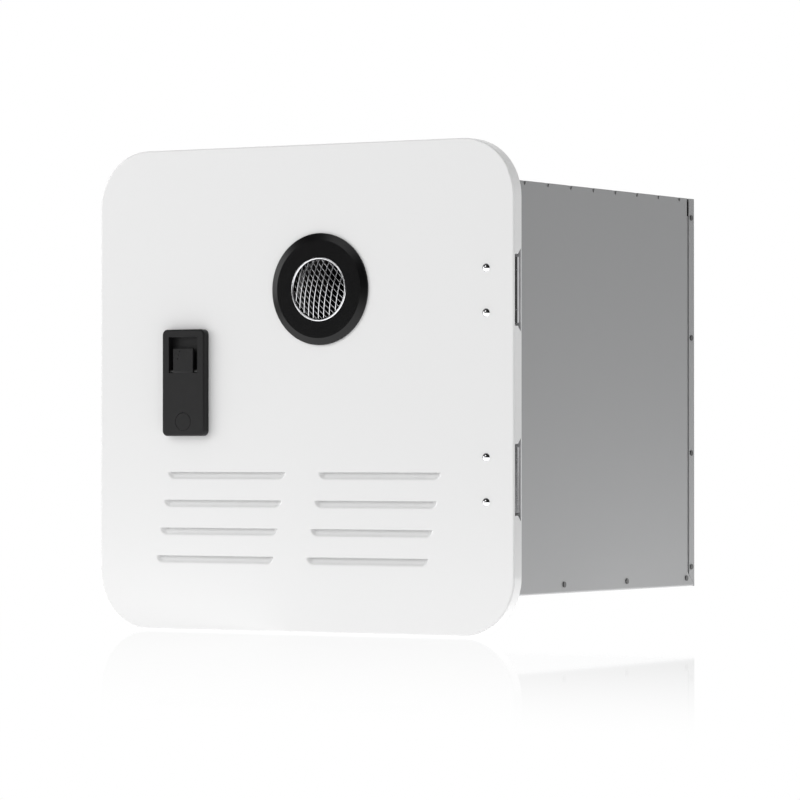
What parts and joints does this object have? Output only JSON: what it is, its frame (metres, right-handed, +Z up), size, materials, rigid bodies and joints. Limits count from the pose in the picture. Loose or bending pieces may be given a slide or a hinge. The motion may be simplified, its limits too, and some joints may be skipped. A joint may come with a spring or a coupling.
{
  "type": "recessed instant water heater",
  "caption": "Recessed gas instant water heater: white hinged square door with round flue outlet, latch and louvres on a sheet-metal casing with burner, heat exchanger, fan and rear fittings",
  "frame": {"origin": "centre of the wall flange's rear face, where it lies on the wall", "axes": "+X to the right seen from the front, +Y into the wall, +Z up"},
  "size_m": [0.381, 0.3872, 0.381],
  "materials": {
    "door_white": "smooth satin white enamel",
    "seal_foam": "closed-cell foam strip",
    "galvanised": "dull galvanised sheet",
    "black_steel": "blackened steel",
    "hinge_steel": "bright zinc plate",
    "outlet_black": "satin heat-proof black",
    "screen_steel": "bright stainless wire",
    "latch_black": "fine-grained black moulding",
    "spring_steel": "blued spring strip",
    "plain_steel": "plain stainless sheet",
    "brass": "machined brass",
    "copper": "drawn copper",
    "cast_aluminium": "die-cast",
    "coil_black": "black moulding",
    "ceramic": "glazed ceramic",
    "seal_silicone": "grey silicone",
    "control_plastic": "grey moulding",
    "board_green": "lacquered board",
    "switch_black": "glossy black moulding",
    "loom_black": "sleeved cable"
  },
  "bodies": {
    "casing": {"front_frame": "galvanised", "door_seal": "seal_foam", "casing_wrap": "galvanised", "casing_top": "galvanised", "rear_cover": "galvanised", "casing_screws": "black_steel", "casing_rivets": "black_steel", "base_tray": "galvanised", "service_plate": "galvanised", "frame_hinge_leaves": "hinge_steel", "hinge_pins": "hinge_steel", "hinge_rivets": "hinge_steel", "latch_keeper": "spring_steel", "burner_box": "plain_steel", "burner_bars": "plain_steel", "gas_manifold": "brass", "gas_valve": "cast_aluminium", "gas_valve_coils": "coil_black", "gas_pipe": "copper", "gas_inlet": "brass", "exchanger_shell": "copper", "exchanger_fins": "copper", "exchanger_tube": "copper", "flue_hood": "plain_steel", "flue_pipe": "plain_steel", "flue_seal": "seal_silicone", "overheat_sensors": "coil_black", "electrodes": "ceramic", "ignition_module": "coil_black", "water_inlet": "brass", "water_outlet": "brass", "flow_sensor": "coil_black", "water_block": "brass", "riser_pipe": "copper", "hot_pipe": "copper", "drain_plug": "brass", "relief_valve": "brass", "fan_housing": "plain_steel", "fan_motor": "black_steel", "control_box": "control_plastic", "circuit_board": "board_green", "switch_body": "switch_black", "cable_gland": "coil_black", "wiring_loom": "loom_black"},
    "door": {"door_panel": "door_white", "door_hinge_leaves": "hinge_steel", "hinge_screws": "hinge_steel", "outlet_ring": "outlet_black", "screen_ring": "screen_steel", "screen_wires": "screen_steel", "latch_body": "latch_black", "latch_pin": "black_steel", "lock_blank": "latch_black", "latch_guide": "latch_black", "latch_spring": "spring_steel"},
    "latch_paddle": {"latch_paddle": "latch_black"},
    "latch_bolt": {"latch_bolt": "latch_black"},
    "fan": {"fan_wheel": "cast_aluminium"},
    "rocker": {"power_rocker": "switch_black"},
    "relief_lever": {"relief_lever": "hinge_steel"}
  },
  "joints": [
    {"name": "door_hinge", "type": "hinge", "parent": "casing", "child": "door", "pos_m": [0.187, -0.0072, 0], "axis": [0, 0, 1], "range_deg": [0, 105], "deforming": ["latch_keeper"]},
    {"name": "latch_pull", "type": "hinge", "parent": "door", "child": "latch_paddle", "pos_m": [-0.1064, -0.0185, 0.01421], "axis": [1, 0, 0], "range_deg": [0, 40]},
    {"name": "latch_bolt_slide", "type": "slide", "parent": "door", "child": "latch_bolt", "axis": [0, 0, 1], "range_m": [0, 0.008], "stiffness_N_per_m": 300, "deforming": ["latch_spring"]},
    {"name": "fan_spin", "type": "hinge", "parent": "casing", "child": "fan", "pos_m": [0.0176, 0.261, -0.1179], "axis": [0, 1, 0], "continuous": true},
    {"name": "power_switch", "type": "hinge", "parent": "casing", "child": "rocker", "pos_m": [0.12, 0.024, 0], "axis": [-1, 0, 0], "range_deg": [0, 20]},
    {"name": "relief_lever_lift", "type": "hinge", "parent": "casing", "child": "relief_lever", "pos_m": [-0.11, 0.0183, -0.0784], "axis": [-1, 0, 0], "range_deg": [0, 80]}
  ],
  "couplings": [
    {"joint": "latch_pull", "follows": "latch_bolt_slide", "rad_per_m": 76.33}
  ]
}
